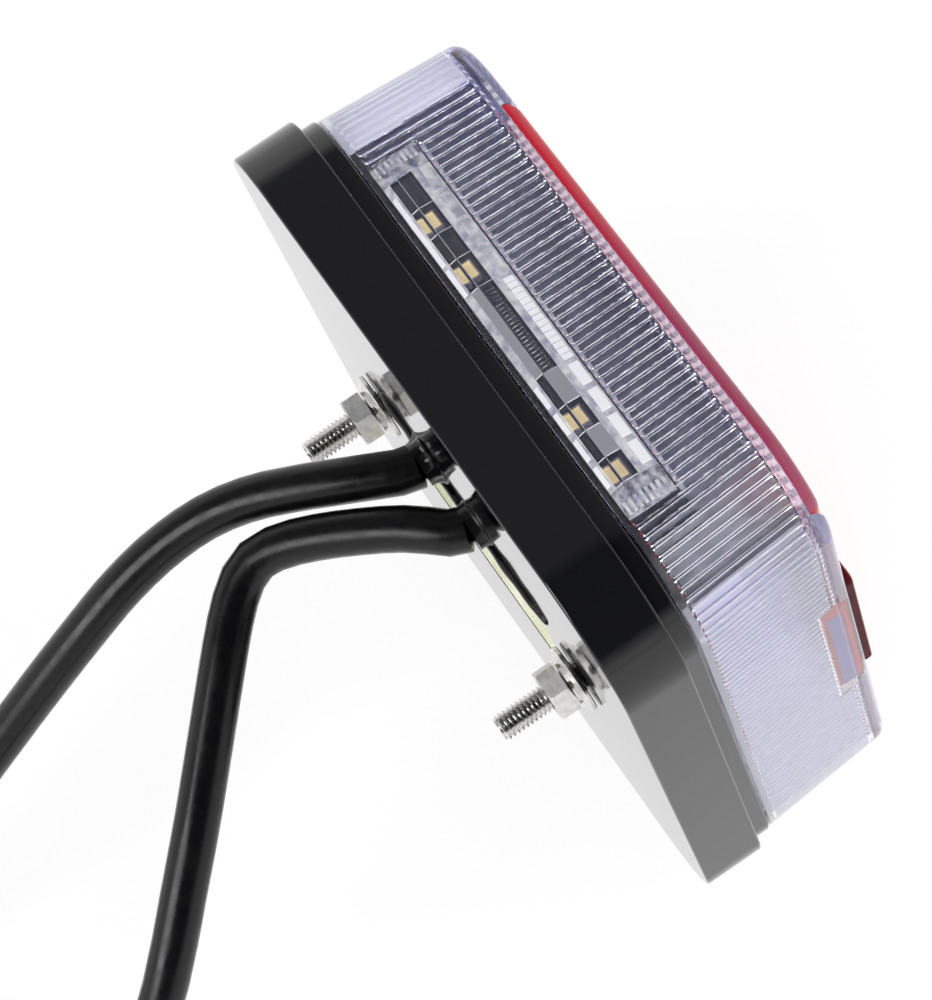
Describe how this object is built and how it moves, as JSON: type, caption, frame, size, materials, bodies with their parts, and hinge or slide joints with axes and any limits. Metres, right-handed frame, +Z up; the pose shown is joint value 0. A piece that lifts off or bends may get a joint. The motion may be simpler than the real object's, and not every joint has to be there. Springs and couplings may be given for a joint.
{
  "type": "trailer tail light",
  "caption": "Square trailer tail light with a gloss black base, clear fluted cover, red front, reflector, number plate window, mounting studs with nuts, and loose coiled leads.",
  "frame": {"origin": "middle of the lamp's own box, without its leads, on the surface that it stands on", "axes": "+Z up, towards the number plate window; the front faces -Y; studs and leads leave the back towards +Y"},
  "size_m": [0.1051, 0.2206, 0.101],
  "materials": {
    "base": "gloss",
    "clear_cover": "clear gloss",
    "red_front": "transparent gloss",
    "reflector": "prismatic gloss",
    "seal": "satin",
    "steel": "bright plated",
    "resin": "wet gloss",
    "white_board": "satin",
    "dark_board": "satin",
    "divider": "satin",
    "white_led": "satin",
    "red_led": "satin",
    "amber_led": "satin",
    "chip": "satin",
    "jacket": "gloss",
    "cores": "satin",
    "ties": "satin"
  },
  "bodies": {
    "lamp": {"housing": "base", "potting_compound": "resin", "lens_cover": "clear_cover", "red_front_lens": "red_front", "reflex_reflector": "reflector", "lens_seal": "seal", "main_circuit_board": "white_board", "polarity_diode": "chip", "light_divider": "divider", "plate_light_board": "dark_board", "stop_tail_led_1": "red_led", "stop_tail_led_2": "red_led", "stop_tail_led_3": "red_led", "stop_tail_led_4": "red_led", "stop_tail_led_5": "red_led", "stop_tail_led_6": "red_led", "indicator_led_1": "amber_led", "indicator_led_2": "amber_led", "indicator_led_3": "amber_led", "driver_resistor_1": "chip", "driver_resistor_2": "chip", "board_screw_1": "steel", "board_screw_2": "steel", "board_screw_3": "steel", "board_screw_4": "steel", "plate_led_1": "white_led", "plate_led_2": "white_led", "plate_led_3": "white_led", "plate_led_4": "white_led", "plate_resistor_1": "chip", "plate_resistor_2": "chip", "right_stud": "steel", "left_stud": "steel", "link_cable_seal": "seal", "link_inner_lead": "cores", "link_cable": "jacket", "link_coil": "jacket", "link_cores": "cores", "supply_cable_seal": "seal", "supply_inner_lead": "cores", "supply_cable": "jacket", "supply_coil": "jacket", "supply_cores": "cores", "coil_tie_1": "ties", "coil_tie_2": "ties"},
    "right_washer_body": {"right_washer": "steel"},
    "right_nut_body": {"right_nut": "steel"},
    "left_washer_body": {"left_washer": "steel"},
    "left_nut_body": {"left_nut": "steel"}
  },
  "joints": [
    {"name": "right_nut_travel", "type": "slide", "parent": "lamp", "child": "right_washer_body", "axis": [0, 1, 0], "range_m": [0, 0.0063]},
    {"name": "right_nut_turn", "type": "hinge", "parent": "right_washer_body", "child": "right_nut_body", "pos_m": [0.0254, 0.01115, 0.0505], "axis": [0, 1, 0], "range_deg": [0, 3240]},
    {"name": "left_nut_travel", "type": "slide", "parent": "lamp", "child": "left_washer_body", "axis": [0, 1, 0], "range_m": [0, 0.0063]},
    {"name": "left_nut_turn", "type": "hinge", "parent": "left_washer_body", "child": "left_nut_body", "pos_m": [-0.0254, 0.01115, 0.0505], "axis": [0, 1, 0], "range_deg": [0, 3240]}
  ],
  "couplings": [
    {"joint": "right_nut_turn", "follows": "right_nut_travel", "rad_per_m": 8976},
    {"joint": "left_nut_turn", "follows": "left_nut_travel", "rad_per_m": 8976}
  ]
}
